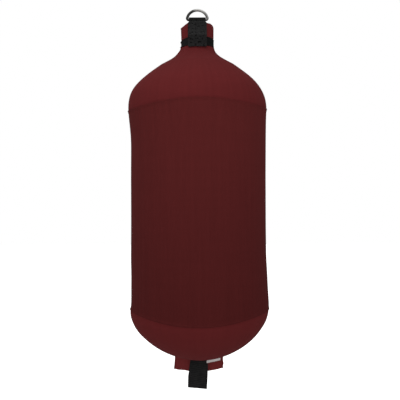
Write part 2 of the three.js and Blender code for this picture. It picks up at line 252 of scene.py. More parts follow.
# %% Knit fabric
GRAIN_SIZE = 0.0026       # a knit loop is under 1 mm; it is drawn coarser so that it shows
RIB_SPACING = 0.011
RIB_LENGTH_SHARE = 0.05
WEFT_SPACING = 0.012
WEFT_STRETCH = (0.12, 0.12, 1.0)
RIB_DEPTH = 0.0004
GRAIN_DEPTH = 0.00022
WEFT_DEPTH = 0.0001
KNIT_SPREAD = 0.10
BODY_RADIUS = cover_high.x
NECK_SHADE_START_Z = sleeve_high.z + 0.07


def texture_noise(tree, vector, size, detail=2.0, roughness=0.5):
    """Noise whose blotches are about one size across, from -0.5 to 0.5."""
    pattern = add_node(tree, "TexNoise", {"noise_dimensions": "3D"},
                       {"Vector": vector, "Scale": 1 / size, "Detail": detail,
                        "Roughness": roughness})
    return add_node(tree, "Math", {"operation": "SUBTRACT"},
                    {0: pattern.outputs["Fac"], 1: 0.5}).outputs[0]


def weighted_sum(tree, terms):
    """Adds up outputs, each times its weight."""
    total = None
    for output, weight in terms:
        inputs = {0: output, 1: weight, 2: 0.0 if total is None else total}
        total = add_node(tree, "Math", {"operation": "MULTIPLY_ADD"}, inputs).outputs[0]
    return total


def share_along(tree, place, axis, places, values, interpolation="LINEAR"):
    """A factor that goes from one value to another between two places along an axis."""
    split = add_node(tree, "SeparateXYZ", None, {0: place})
    return add_node(tree, "MapRange", {"interpolation_type": interpolation},
                    {"Value": split.outputs[axis], "From Min": places[0], "From Max": places[1],
                     "To Min": values[0], "To Max": values[1]}).outputs[0]


def start_finish(name):
    """A new material, its empty tree, and the place on the piece that its patterns follow."""
    material = bpy.data.materials.new(name)
    tree = empty_tree(material)
    return material, tree, add_node(tree, "TexCoord").outputs["Object"]


def end_finish(material, colour, shade, spread, relief, surface, factor=1.0):
    """The end of a recipe: the colour in its shades, the relief and the surface's values.

    A shade from -0.5 to 0.5 takes the colour from one end of the spread to the other.
    """
    tree = material.node_tree
    varied = add_node(tree, "MapRange", None,
                      {"Value": shade, "From Min": -0.5, "From Max": 0.5,
                       "To Min": spread[0], "To Max": spread[1]})
    shaded = add_node(tree, "Math", {"operation": "MULTIPLY"},
                      {0: varied.outputs[0], 1: factor})
    tint = add_node(tree, "VectorMath", {"operation": "SCALE"},
                    {0: linear(colour)[:3], "Scale": shaded.outputs[0]})
    bump = add_node(tree, "Bump", None,
                    {"Height": weighted_sum(tree, relief), "Strength": 1.0, "Distance": 1.0})
    look = add_node(tree, "BsdfPrincipled", None,
                    {"Base Color": tint.outputs[0], "Normal": bump.outputs[0], **surface})
    add_node(tree, "OutputMaterial", None, {"Surface": look.outputs[0]})
    return material


def wale_vector(tree, place):
    """Coordinates that are stretched along the wales: round the axis in x and y, down in z."""
    split = add_node(tree, "SeparateXYZ", None, {0: place})
    flat = add_node(tree, "CombineXYZ", None,
                    {"X": split.outputs["X"], "Y": split.outputs["Y"]})
    direction = add_node(tree, "VectorMath", {"operation": "NORMALIZE"},
                         {0: flat.outputs[0]})
    outward = add_node(tree, "VectorMath", {"operation": "SCALE"},
                       {0: direction.outputs[0], "Scale": BODY_RADIUS})
    down = add_node(tree, "Math", {"operation": "MULTIPLY"},
                    {0: split.outputs["Z"], 1: RIB_LENGTH_SHARE})
    lift = add_node(tree, "CombineXYZ", None, {"Z": down.outputs[0]})
    return add_node(tree, "VectorMath", {"operation": "ADD"},
                    {0: outward.outputs[0], 1: lift.outputs[0]}).outputs[0]


def knit_fabric(name, colour, ramp_share=0.0, heights=(0, 1)):
    """Dyed stretch knit: matt, a fine grain, soft ribs along the wales and faint wefts.

    A ramp share makes it lighter by that share at the upper of two heights, and darker at the
    lower.
    """
    material, tree, place = start_finish(name)
    across = add_node(tree, "VectorMath", {"operation": "MULTIPLY"},
                      {0: place, 1: WEFT_STRETCH}).outputs[0]
    grain = texture_noise(tree, place, GRAIN_SIZE, detail=3.0, roughness=0.65)
    ribs = texture_noise(tree, wale_vector(tree, place), RIB_SPACING, detail=3.0, roughness=0.6)
    wefts = texture_noise(tree, across, WEFT_SPACING, detail=1.0)
    shade = weighted_sum(tree, [(grain, 0.55), (ribs, 1.0), (wefts, 0.35)])
    height_ramp = share_along(tree, place, "Z", heights, (1 - ramp_share, 1 + ramp_share))
    return end_finish(material, colour, shade, (1 - KNIT_SPREAD, 1 + KNIT_SPREAD),
                      [(ribs, RIB_DEPTH), (grain, GRAIN_DEPTH), (wefts, WEFT_DEPTH)],
                      {"Roughness": 0.95, "Specular IOR Level": 0.05}, height_ramp)


# painted shade: the cover's knit is painted darker towards the neck hollow under the band
burgundy_knit = knit_fabric("burgundy polyester knit", "#5f2223",
                            ramp_share=-0.07, heights=(NECK_SHADE_START_Z, band_low.z))
# painted light: the tail skirt's knit is a lighter copy of the cover's, standing in for the light
# that reaches the tail from below
bounce_lit_knit = knit_fabric("burgundy polyester knit painted lighter for bounce light", "#772f30")
# the sleeve's knit is lighter at its upper end and darker towards its lower end
dark_knit = knit_fabric("dark burgundy polyester knit", "#562020",
                        ramp_share=0.14, heights=(sleeve_low.z, sleeve_high.z))

# %% [markdown]
# ## The turned body
# An inflated tube is round wherever nothing pulls at it, so the cover is made as on a lathe: a
# half outline is drawn point by point with extrude, then spun round the axis. The outline is a
# few Bezier stretches that meet smoothly, with more points where the form turns fast.

# %% Outline of the body
def eased(share):
    """0 to 1 with a soft start and end."""
    share = max(0.0, min(1.0, share))
    return share * share * (3 - 2 * share)


BULGE_RADIUS = cover_high.x + 0.0005
UPPER_DOME_Z = sleeve_high.z
LOWER_DOME_Z = sleeve_low.z + 0.001
UPPER_BULGE = ((0.1771, 0.098), (0.1771, 0.063), (0.1806, 0.016))
LOWER_BULGE = ((0.1806, 0.0215), (0.1776, 0.1265), (0.1771, 0.2265))
LOWER_END_HANDLE = 0.0525
TAIL_HANDLE = 0.0965
UPPER_END_HANDLE = 0.049
SHOULDER_RADIUS = 0.1021
SHOULDER_HEIGHT = 0.1125
SHOULDER_SLOPE = math.radians(36.5)
SHOULDER_HANDLE = 0.070
HOLLOW_HANDLE = 0.005
NECK_HANDLE = 0.0195
NECK_RADIUS = 0.0412
NECK_SWELL = 0.002
NECK_FOOT_DROP = 0.002

band_top_z = band_high.z
band_bottom_z = band_low.z
neck_foot_z = band_bottom_z - NECK_FOOT_DROP


def bezier(start, start_handle, end_handle, end, steps):
    """Points of one Bezier stretch of the half outline, each a radius and a height."""
    corners = [Vector((radius, 0, height)) for radius, height in
               (start, start_handle, end_handle, end)]
    return interpolate_bezier(*corners, steps + 1)


def joined(stretches):
    """One line from stretches that end where the next one starts."""
    line = list(stretches[0])
    for stretch in stretches[1:]:
        line += stretch[1:]
    return line


def body_outline(steps):
    """The outside of the cover from its lower pole to the foot of the neck."""
    low_flare = [(radius, LOWER_DOME_Z + rise) for radius, rise in LOWER_BULGE]
    high_flare = [(radius, UPPER_DOME_Z - drop) for radius, drop in UPPER_BULGE]
    shoulder_z = UPPER_DOME_Z + SHOULDER_HEIGHT
    slope_x = math.cos(SHOULDER_SLOPE)
    slope_z = math.sin(SHOULDER_SLOPE)
    shoulder_low = (SHOULDER_RADIUS + slope_x * SHOULDER_HANDLE,
                    shoulder_z - slope_z * SHOULDER_HANDLE)
    shoulder_high = (SHOULDER_RADIUS - slope_x * HOLLOW_HANDLE,
                     shoulder_z + slope_z * HOLLOW_HANDLE)
    foot_radius = NECK_RADIUS + NECK_SWELL
    end, low_bulge, barrel, high_bulge, dome, hollow = steps
    return joined([
        bezier((0, pole_z), (TAIL_HANDLE, pole_z),
               (BULGE_RADIUS, LOWER_DOME_Z - LOWER_END_HANDLE),
               (BULGE_RADIUS, LOWER_DOME_Z), end),
        bezier((BULGE_RADIUS, LOWER_DOME_Z), *low_flare, low_bulge),
        bezier(low_flare[-1], low_flare[-1], high_flare[0], high_flare[0], barrel),
        bezier(*high_flare, (BULGE_RADIUS, UPPER_DOME_Z), high_bulge),
        bezier((BULGE_RADIUS, UPPER_DOME_Z), (BULGE_RADIUS, UPPER_DOME_Z + UPPER_END_HANDLE),
               shoulder_low, (SHOULDER_RADIUS, shoulder_z), dome),
        bezier((SHOULDER_RADIUS, shoulder_z), shoulder_high,
               (foot_radius, neck_foot_z - NECK_HANDLE), (foot_radius, neck_foot_z), hollow),
    ])


fine_outline = body_outline((40, 24, 12, 16, 30, 24))


def body_radius(z):
    """The cover's radius at a height, read from the fine outline."""
    for low, high in zip(fine_outline, fine_outline[1:]):
        if z <= high.z:
            return low.x + (high.x - low.x) * (z - low.z) / (high.z - low.z)
    return NECK_RADIUS


print("outline:", len(fine_outline), "points, widest", round(2 * BULGE_RADIUS, 4), "m")

# %% Lean of the body
LEAN = ((0.066, 0.0), (0.080, -0.0010), (0.106, 0.0002), (0.144, -0.0004), (0.184, -0.0018),
        (0.232, -0.0009), (0.320, 0.0015), (0.420, 0.0008), (0.610, 0.0006), (0.682, 0.0025),
        (0.735, 0.0036), (0.773, 0.0014), (0.802, 0.0004), (0.825, 0.0016), (0.850, 0.0021),
        (0.870, 0.0035), (0.8845, 0.0048))


def lean(z):
    """How far the section at a height sits to the right: sewn by hand, the tube isn't true."""
    drop = crest_z - z
    for (above, before), (below, after) in zip(LEAN, LEAN[1:]):
        if drop <= below:
            return before + (after - before) * eased((drop - above) / (below - above))
    return LEAN[-1][1]


# %% [markdown]
# ## Gathers
# Cloth that is drawn in folds up into soft pleats, all a bit unlike. A sum of waves with
# whole numbers round the axis has no start or end, and a fixed seed draws the same ones each
# run. Their height is under a millimetre on the taut body and grows at the gathered neck.

# %% Pleat pattern
def pleat_waves(seed, lowest, highest, count):
    """Waves round the axis: how many, and where each starts."""
    draw = random.Random(seed)
    return [(draw.randint(lowest, highest), draw.uniform(0, 2 * math.pi)) for _ in range(count)]


def pleats(waves, angle):
    """Height of the pleats at an angle, from about -1 to 1."""
    return sum(math.cos(number * angle + start) for number, start in waves) / math.sqrt(len(waves))


# %% [markdown]
# ## The neck
# Under the band the neck is an oval. Above it the empty end of the tube is pressed flat
# towards the crest, where the strap passes over it. Its left side ends in a folded, pointed
# corner and its right side in a round shoulder. Each point of the round body is moved to that
# form: the width follows the two side lines and the depth narrows to a pinched edge.

# %% Neck shape
NECK_DEPTH = 0.029
CREST_HALF_WIDTH = 0.026
CREST_HALF_DEPTH = 0.0065
LEFT_CORNER_DROP = 0.0150
RIGHT_CORNER_DROP = 0.0165
LEFT_CORNER = 0.0450
LEFT_UNDER_CORNER = 0.0434
UNDER_CORNER_DROP = 0.0055
RIGHT_CORNER = 0.0430
ABOVE_BAND = 0.0428
ABOVE_BAND_RISE = 0.004
BAND_DIP_LEFT = 0.0068
BAND_DIP_RIGHT = 0.0042
BAND_TILT = 0.0014
ROUNDING_LENGTH = 0.054

left_corner_z = crest_z - LEFT_CORNER_DROP
right_corner_z = crest_z - RIGHT_CORNER_DROP


def between(z, low, high, low_value, high_value):
    """A value that runs evenly between two heights."""
    share = max(0.0, min(1.0, (z - low) / (high - low)))
    return low_value + (high_value - low_value) * share


def band_edge(across):
    """Height of the band's top edge at a place across the neck from -1 to 1: its sides dip."""
    dip = BAND_DIP_LEFT if across < 0 else BAND_DIP_RIGHT
    return band_top_z + BAND_TILT * across - dip * across ** 4


def above_band(z, across):
    """The cloth springs out again just above the band."""
    share = eased((z - band_edge(across)) / ABOVE_BAND_RISE)
    return NECK_RADIUS + (ABOVE_BAND - NECK_RADIUS) * share


def left_side(z, across):
    """The left side line: up to a pointed corner, then straight in to the crest."""
    under_corner_z = left_corner_z - UNDER_CORNER_DROP
    if z <= under_corner_z:
        widening = between(z, band_top_z, under_corner_z, 0, LEFT_UNDER_CORNER - ABOVE_BAND)
        return above_band(z, across) + widening
    if z <= left_corner_z:
        share = (z - under_corner_z) / UNDER_CORNER_DROP
        return LEFT_UNDER_CORNER + (LEFT_CORNER - LEFT_UNDER_CORNER) * share ** 2
    return between(z, left_corner_z, crest_z, LEFT_CORNER, CREST_HALF_WIDTH)


def right_side(z, across):
    """The right side line: a round shoulder."""
    if z <= right_corner_z:
        widening = between(z, band_top_z, right_corner_z, 0, RIGHT_CORNER - ABOVE_BAND)
        return above_band(z, across) + widening
    share = min(1.0, (z - right_corner_z) / RIGHT_CORNER_DROP)
    return CREST_HALF_WIDTH + (RIGHT_CORNER - CREST_HALF_WIDTH) * math.sqrt(1 - share ** 2)


def neck_depth(z):
    """Half the neck's depth at a height."""
    return between(z, band_top_z, crest_z, NECK_DEPTH, CREST_HALF_DEPTH)


def neck_point(point):
    """Moves a point of the round body to the neck's oval and pinched form."""
    radius = math.hypot(point.x, point.y)
    if radius < 1e-6 or point.z < band_bottom_z - ROUNDING_LENGTH:
        return point
    reach = min(1.0, radius / NECK_RADIUS)
    side_line = left_side if point.x < 0 else right_side
    side = side_line(point.z, point.x / radius)
    if point.z <= band_bottom_z:
        share = eased((point.z - band_bottom_z) / ROUNDING_LENGTH + 1)
        narrower = Vector((0, (NECK_RADIUS - NECK_DEPTH) * share))
    else:
        narrower = Vector((NECK_RADIUS - side, NECK_RADIUS - neck_depth(point.z)))
    flat = eased((point.z - band_top_z) / (crest_z - band_top_z))
    pinch = abs(point.y / radius) ** flat
    return Vector((point.x * (1 - narrower.x * reach / radius),
                   point.y * (1 - narrower.y * reach / radius) * pinch, point.z))


# %% Drawing helpers
SAME_POINT = 0.00001
SMOOTH_DEGREES = 40


def start_line(name, first):
    """A new object in edit mode that holds one selected vertex."""
    bpy.ops.object.select_all(action="DESELECT")
    bpy.ops.mesh.primitive_plane_add(size=0.01)
    piece = bpy.context.object
    piece.name = name
    bpy.ops.object.mode_set(mode="EDIT")
    bpy.ops.mesh.merge(type="CENTER")
    bpy.ops.transform.translate(value=first)
    return piece


def start_circle(name, vertices, radius, place, turn=(0, 0, 0)):
    """A new object in edit mode that holds one selected circle."""
    bpy.ops.object.select_all(action="DESELECT")
    bpy.ops.mesh.primitive_circle_add(vertices=vertices, radius=radius, location=place,
                                      rotation=turn)
    piece = bpy.context.object
    piece.name = name
    bpy.ops.object.transform_apply(location=True, rotation=True, scale=True)
    bpy.ops.object.mode_set(mode="EDIT")
    bpy.ops.mesh.select_all(action="SELECT")
    return piece


def extrude_along(points):
    """Extrudes what is selected from the first point to each of the others."""
    for before, after in zip(points, points[1:]):
        bpy.ops.mesh.extrude_region_move(TRANSFORM_OT_translate={"value": after - before})


def end_drawing():
    """Turns all faces outward and leaves edit mode."""
    bpy.ops.mesh.select_all(action="SELECT")
    bpy.ops.mesh.normals_make_consistent(inside=False)
    bpy.ops.object.mode_set(mode="OBJECT")


def turned(name, line, steps):
    """A piece as from a lathe: its line is drawn, spun once round the Z axis and closed."""
    piece = start_line(name, line[0])
    extrude_along(line)
    bpy.ops.mesh.select_all(action="SELECT")
    bpy.ops.mesh.spin(steps=steps, angle=2 * math.pi, center=(0, 0, 0), axis=(0, 0, 1))
    bpy.ops.mesh.select_all(action="SELECT")
    bpy.ops.mesh.remove_doubles(threshold=SAME_POINT)
    end_drawing()
    return piece


def draw_strip(name, row, line):
    """A strip: a row of points is drawn, and all of it is extruded along a line."""
    strip = start_line(name, row[0])
    extrude_along(row)
    bpy.ops.mesh.select_all(action="SELECT")
    extrude_along(line)
    end_drawing()
    return strip


def move_points(piece, rule):
    """Moves every vertex of a piece to where the rule says."""
    for vertex in piece.data.vertices:
        vertex.co = rule(vertex.co.copy())
    piece.data.update()


def select_only(piece):
    """Selects one piece and makes it the active one."""
    bpy.ops.object.select_all(action="DESELECT")
    piece.select_set(True)
    bpy.context.view_layer.objects.active = piece


def apply_modifier(piece, kind, **settings):
    """Adds a modifier with its settings and applies it."""
    select_only(piece)
    modifier = piece.modifiers.new(kind.lower(), kind)
    for name, value in settings.items():
        setattr(modifier, name, value)
    bpy.ops.object.modifier_apply(modifier=modifier.name)


def thicken(piece, wall, offset=-1, rounding=0):
    """Gives a sheet its wall, and round edges where a rounding is named."""
    apply_modifier(piece, "SOLIDIFY", thickness=wall, offset=offset)
    if rounding:
        apply_modifier(piece, "BEVEL", width=rounding, segments=2, limit_method="ANGLE")


def finish_piece(piece, material, body, slot, *nodes):
    """Smooths a piece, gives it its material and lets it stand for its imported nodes."""
    select_only(piece)
    bpy.ops.object.shade_smooth_by_angle(angle=math.radians(SMOOTH_DEGREES))
    piece.data.materials.clear()
    piece.data.materials.append(material)
    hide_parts(*nodes)
    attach(piece, body)
    piece.data.calc_loop_triangles()
    print(piece.name, len(piece.data.loop_triangles), "triangles")


# %% [markdown]
# ## The cover
# One fabric shell from the lower pole over both ends to the open crest. The spun shell gets
# its pleats and its neck, and Solidify gives it a wall that turns in at the mouth.

# %% Where the sleeve ends
SLEEVE_WALL = 0.0012
SLEEVE_PRESS = CLEARANCE + SLEEVE_WALL + 0.0001
PRESS_REACH = 0.005
UPPER_WAVE = 0.0050
UPPER_WAVE_DROP = 0.0008
UPPER_TILT = 0.0018
LOWER_WAVE = 0.0055
LOWER_WAVE_RISE = 0.003


def sleeve_ends(angle):
    """The sleeve's lower and upper edge at an angle: each waves three times round the axis."""
    wave = math.cos(3 * (angle + math.pi / 2))
    return (sleeve_low.z + LOWER_WAVE_RISE - LOWER_WAVE * wave,
            sleeve_high.z - UPPER_WAVE_DROP + UPPER_TILT * math.cos(angle) + UPPER_WAVE * wave)


def pressed_in(angle, z):
    """How far the sleeve presses the cover in, so that its face is flush with the cover's."""
    low, high = sleeve_ends(angle)
    inside = min(z - low, high - z)
    return SLEEVE_PRESS * eased(inside / PRESS_REACH)


# %% Cover
COVER_STEPS = 324
NECK_PLEAT_HEIGHT = 0.00055
NECK_PLEAT_REACH = 0.060
DOME_PLEAT_HEIGHT = 0.00012
CENTRE_FADE = 0.05
FOOT_SWELL = 0.0018
FOOT_SWELL_DROP = 0.0100
FOOT_SWELL_REACH = 0.022
NECK_STEPS = 22

neck_heights = [band_bottom_z, (band_bottom_z + band_top_z) / 2, band_top_z]
for step in range(1, NECK_STEPS + 1):
    neck_heights.append(band_top_z + (crest_z - band_top_z) * step / NECK_STEPS)
cover_line = body_outline((30, 14, 4, 8, 26, 18))
cover_line += [Vector((NECK_RADIUS, 0, z)) for z in neck_heights]
neck_waves = pleat_waves(11, 18, 46, 7)

fender_cover = turned("fender_cover", cover_line, COVER_STEPS)


def cover_point(point):
    """Pleats that fade away from the neck, and the neck's own form."""
    radius = math.hypot(point.x, point.y)
    if radius < 1e-6:
        return point
    under_band = eased(1 - (band_bottom_z - point.z) / NECK_PLEAT_REACH)
    if point.z > band_bottom_z:
        under_band = 0.0
    height = DOME_PLEAT_HEIGHT + NECK_PLEAT_HEIGHT * under_band
    angle = math.atan2(point.y, point.x)
    lift = height * pleats(neck_waves, angle) * min(1.0, radius / CENTRE_FADE)
    lift = (lift - pressed_in(angle, point.z)) / radius
    moved = neck_point(Vector((point.x * (1 + lift), point.y * (1 + lift), point.z)))
    from_foot = abs(point.z - band_bottom_z + FOOT_SWELL_DROP)
    side_swell = FOOT_SWELL * eased(1 - from_foot / FOOT_SWELL_REACH) * point.x / radius
    return moved + Vector((side_swell + lean(point.z), 0, 0))


move_points(fender_cover, cover_point)
thicken(fender_cover, COVER_WALL)
finish_piece(fender_cover, burgundy_knit, "fender", "cover_fabric", "cover")

# %% [markdown]
# ## The wear sleeve
# A second layer is sewn on round the middle. It is spun like the cover, a clearance outside
# it. Its hems are turned under, so they stand a little proud, and the row of stitches sinks
# into them. Each end waves three times round, as the two seams do in the photograph.

# %% Sleeve
SLEEVE_STEPS = 560
WAVE_REACH = 0.070
HEM_WIDTH = 0.008
HEM_LIFT = 0.0005
HEM_STEP = 0.0015
EDGE_ROUNDING = 0.0012
EDGE_START = 0.3
STITCH_INSET = 0.0055
STITCH_SINK = 0.0004
STITCH_HALF_ROW = 0.0005
STITCHES_ROUND = 280
PUCKER_HEIGHT = 0.00035
PUCKER_REACH = 0.075
PUCKER_START = 0.006
MIDDLE_PUCKER = 0.25
EDGE_ROWS = (0, 0.0012, 0.0026, 0.004, 0.0055, 0.007, 0.0085, 0.0105, 0.0135, 0.018, 0.024,
             0.032, 0.042, 0.055, 0.070, 0.088)
MIDDLE_ROWS = 18

sleeve_waves = pleat_waves(5, 40, 92, 9)
sleeve_length = sleeve_high.z - sleeve_low.z
row_places = list(EDGE_ROWS)
middle_length = sleeve_length - 2 * EDGE_ROWS[-1]
row_places += [EDGE_ROWS[-1] + middle_length * step / MIDDLE_ROWS
               for step in range(1, MIDDLE_ROWS)]
row_places += [sleeve_length - place for place in reversed(EDGE_ROWS)]

sleeve_line = []
for place in row_places:
    height = sleeve_low.z + place
    sleeve_line.append(Vector((body_radius(height), 0, height)))
fender_sleeve = turned("fender_sleeve", sleeve_line, SLEEVE_STEPS)


def sleeve_point(point):
    """Waved ends, proud hems with sunk stitches, and puckers that fade from each seam."""
    angle = math.atan2(point.y, point.x)
    from_low = point.z - sleeve_low.z
    from_high = sleeve_high.z - point.z
    edge = min(from_low, from_high)
    low, high = sleeve_ends(angle)
    z = point.z + (low - sleeve_low.z) * eased(1 - from_low / WAVE_REACH)
    z += (high - sleeve_high.z) * eased(1 - from_high / WAVE_REACH)
    lift = HEM_LIFT * eased((HEM_WIDTH - edge) / HEM_STEP)
    lift *= eased(edge / EDGE_ROUNDING + EDGE_START)
    if abs(edge - STITCH_INSET) < STITCH_HALF_ROW:
        lift -= STITCH_SINK * (0.5 + 0.5 * math.cos(STITCHES_ROUND * angle))
    pucker = MIDDLE_PUCKER + (1 - MIDDLE_PUCKER) * eased(1 - edge / PUCKER_REACH)
    pucker *= pleats(sleeve_waves, angle) * eased(edge / PUCKER_START)
    lift += PUCKER_HEIGHT * pucker
    radius = body_radius(z) - pressed_in(angle, z) + CLEARANCE + SLEEVE_WALL + lift
    return Vector((radius * math.cos(angle) + lean(z), radius * math.sin(angle), z))


move_points(fender_sleeve, sleeve_point)
thicken(fender_sleeve, SLEEVE_WALL)
finish_piece(fender_sleeve, dark_knit, "fender", "sleeve_fabric", "wear_sleeve")

# %% [markdown]
# ## The elastic band
# Woven elastic has cords along its length, which show as fine ribs round the band. The ribs
# are in the section that is spun, so they are real. The lower edge rides on the swelling
# cloth, the top edge dips at the two sides, and both edges flare a little there.

# %% Black elastic
ELASTIC_RIB = 0.0019      # real ribs are 1.2 mm apart; these are drawn a little coarser
BRAID_SIZE = 0.0016
BRAID_DEPTH = 0.0003
PAINTED_LIGHT_PLACES = (-0.035, 0.035)


def woven_elastic(name, colour):
    """Braided rubber and polyester: matt, with a fine crossing grain, and painted light from the
    left.
    """
    material, tree, place = start_finish(name)
    braid = texture_noise(tree, place, BRAID_SIZE, detail=2.0)
    # painted light: the band is painted lighter on the left, where the light falls, and darker on
    # the right
    painted_light_from_left = share_along(tree, place, "X", PAINTED_LIGHT_PLACES, (1.35, 0.55))
    return end_finish(material, colour, braid, (0.72, 1.28), [(braid, BRAID_DEPTH)],
                      {"Roughness": 0.8, "Specular IOR Level": 0.12}, painted_light_from_left)


black_elastic = woven_elastic("black braided elastic", "#161616")

# %% Band
BAND_STEPS = 180
BAND_WALL = 0.0018
BAND_FLARE_LEFT = 0.0026
BAND_FLARE_RIGHT = 0.0006
BAND_TOP_FLARE_LEFT = 0.0022
BAND_TOP_FLARE_RIGHT = 0.0006
FLARE_REACH = 0.007
TOP_FLARE_REACH = 0.005
RIB_HEIGHT = 0.00018
POINTS_EACH_RIB = 4
BAND_EDGE_INSET = 0.0007
BAND_EDGE_RISE = 0.0006

band_inside = NECK_RADIUS + CLEARANCE
band_outside = band_inside + BAND_WALL
band_edge_radius = band_outside - BAND_EDGE_INSET
band_height = band_top_z - band_bottom_z
rib_count = round(band_height / ELASTIC_RIB)
band_line = [Vector((band_inside, 0, band_bottom_z)),
             Vector((band_edge_radius, 0, band_bottom_z))]
for step in range(rib_count * POINTS_EACH_RIB + 1):
    share = step / (rib_count * POINTS_EACH_RIB)
    rib = RIB_HEIGHT * math.cos(2 * math.pi * rib_count * share)
    height = band_bottom_z + BAND_EDGE_RISE + (band_height - 2 * BAND_EDGE_RISE) * share
    band_line.append(Vector((band_outside - RIB_HEIGHT - rib, 0, height)))
band_line += [Vector((band_edge_radius, 0, band_top_z)), Vector((band_inside, 0, band_top_z)),
              Vector((band_inside, 0, (band_top_z + band_bottom_z) / 2)), band_line[0]]
elastic_band = turned("elastic_band", band_line, BAND_STEPS)


def band_point(point):
    """The neck's oval, a top edge that dips, and edges that flare at the two sides."""
    radius = math.hypot(point.x, point.y)
    side = (point.x / radius) ** 2
    low_flare = BAND_FLARE_LEFT if point.x < 0 else BAND_FLARE_RIGHT
    high_flare = BAND_TOP_FLARE_LEFT if point.x < 0 else BAND_TOP_FLARE_RIGHT
    low = low_flare * eased(1 - (point.z - band_bottom_z) / FLARE_REACH)
    high = high_flare * eased(1 - (band_top_z - point.z) / TOP_FLARE_REACH)
    up = (point.z - band_bottom_z) / (band_top_z - band_bottom_z)
    point.z += (band_edge(point.x / radius) - band_top_z) * up
    moved = neck_point(point)
    outward = 1 + side * (low + high) / radius
    return Vector((moved.x * outward, moved.y * outward, moved.z))


move_points(elastic_band, band_point)
finish_piece(elastic_band, black_elastic, "fender", "elastic", "neck_band")

# %% [markdown]
# ## Webbing
# The two straps are cut from the same black webbing, but show different faces. The strap on
# the neck shows its napped side, a short loop pile with pits and lint. The loop at the tail
# shows the flat weave, with weft ribs across it and a denser selvedge along each edge.

# %% Napped and flat webbing
NAP_SIZE = 0.0054
PIT_SIZE = 0.0066
WEFT_RIB = 0.0052         # the real weft is 1.5 mm apart; it is drawn coarser so that it shows
SELVEDGE = 0.0032
PIT_EDGE = (-0.15, -0.06)
TUFT_DEPTH = 0.0016
PIT_DEPTH = 0.0012
WEFT_SLANT = -0.16
WEFT_DRIFT = 5.0
DRIFT_SIZE = 0.011
WEAVE_GRAIN = 0.0022
DARK_LINE_HALF_WIDTH = 0.0007


def napped_webbing(name, colour):
    """Loop pile: very matt, in soft tufts with painted shade in the sunk hollows, lighter towards
    the free end.
    """
    material, tree, place = start_finish(name)
    tufts = texture_noise(tree, place, NAP_SIZE, detail=4.0, roughness=0.7)
    lumps = texture_noise(tree, place, PIT_SIZE, detail=1.0)
    # painted shade: the pits are painted darker as well as sunk in the relief
    shaded_pits = add_node(tree, "MapRange", {"interpolation_type": "SMOOTHSTEP"},
                    {"Value": lumps, "From Min": PIT_EDGE[0], "From Max": PIT_EDGE[1],
                     "To Min": -0.8, "To Max": 0.0}).outputs[0]
    shade = weighted_sum(tree, [(tufts, 1.1), (shaded_pits, 0.9)])
    # lighter towards the lower free end and darker towards the crest
    height_ramp = share_along(tree, place, "Z", (band_top_z, crest_z), (1.28, 0.72))
    return end_finish(material, colour, shade, (0.15, 2.05),
                      [(tufts, TUFT_DEPTH), (shaded_pits, PIT_DEPTH)],
                      {"Roughness": 0.95, "Specular IOR Level": 0.1, "Sheen Weight": 0.05,
                       "Sheen Roughness": 0.6}, height_ramp)


def flat_webbing(name, colour, middle_x, half_width):
    """Flat weave: weft ribs that run slightly aslant, and a dark line inside each selvedge."""
    material, tree, place = start_finish(name)
    split = add_node(tree, "SeparateXYZ", None, {0: place})
    slant = add_node(tree, "Math", {"operation": "MULTIPLY_ADD"},
                     {0: split.outputs["X"], 1: WEFT_SLANT, 2: split.outputs["Z"]})
    turns = add_node(tree, "Math", {"operation": "MULTIPLY"},
                     {0: slant.outputs[0], 1: 2 * math.pi / WEFT_RIB})
    drift = texture_noise(tree, place, DRIFT_SIZE, detail=2.0)
    phase = add_node(tree, "Math", {"operation": "MULTIPLY_ADD"},
                     {0: drift, 1: WEFT_DRIFT, 2: turns.outputs[0]})
    ribs = add_node(tree, "Math", {"operation": "SINE"},
                    {0: phase.outputs[0]}).outputs[0]
    off_centre = add_node(tree, "Math", {"operation": "SUBTRACT"},
                          {0: split.outputs["X"], 1: middle_x})
    reach = add_node(tree, "Math", {"operation": "ABSOLUTE"},
                     {0: off_centre.outputs[0]})
    edge = add_node(tree, "Math", {"operation": "COMPARE"},
                    {0: reach.outputs[0], 1: half_width - SELVEDGE,
                     2: DARK_LINE_HALF_WIDTH}).outputs[0]
    grain = texture_noise(tree, place, WEAVE_GRAIN, detail=3.0)
    shade = weighted_sum(tree, [(ribs, 0.30), (grain, 0.9), (edge, -0.35), (drift, 1.3)])
    return end_finish(material, colour, shade, (0.55, 1.45),
                      [(ribs, 0.00018), (grain, 0.0005), (edge, -0.0003)],
                      {"Roughness": 0.85, "Specular IOR Level": 0.15})


loop_middle_x = (loop_low.x + loop_high.x) / 2
loop_half_width = (loop_high.x - loop_low.x) / 2
napped_black = napped_webbing("black napped polyester webbing", "#181818")
flat_black = flat_webbing("black flat polyester webbing", "#1f1f1f", loop_middle_x, loop_half_width)

# %% [markdown]
# ## The hanging strap
# The strap runs up the back of the neck, over the ring's bar and down the front to the band.
# A row of points across its width is extruded along its side view, so the strip has one face
# for every few millimetres. It is then bent round the oval neck and squeezed above the crest,
# where the ring's limbs swing past it, and its free end gets round corners and a hem.

# %% Hanging strap
WEBBING = 0.0026
WIRE = 0.007
STRAP_HALF_WIDTH = strap_high.x
STRAP_BAR_SQUEEZE = 0.092
FOLD_LEG = 0.0062
SQUEEZE_RISE = 0.002
STRAP_END_LIFT = 0.001
STRAP_BACK_LENGTH = 0.038
STRAP_COLUMNS = 24
FOLD_STEPS = 12
LEG_STEP = 0.0028
END_CORNER = 0.0022
END_HEM = 0.007
END_HEM_LIFT = 0.0006
END_HEM_STEP = 0.002
WEBBING_ROUNDING = 0.0005


def legs(points, step):
    """Points about one step apart along straight legs between the given points."""
    line = [points[0]]
    for start, end in zip(points, points[1:]):
        count = max(1, round((end - start).length / step))
        line += [start.lerp(end, i / count) for i in range(1, count + 1)]
    return line


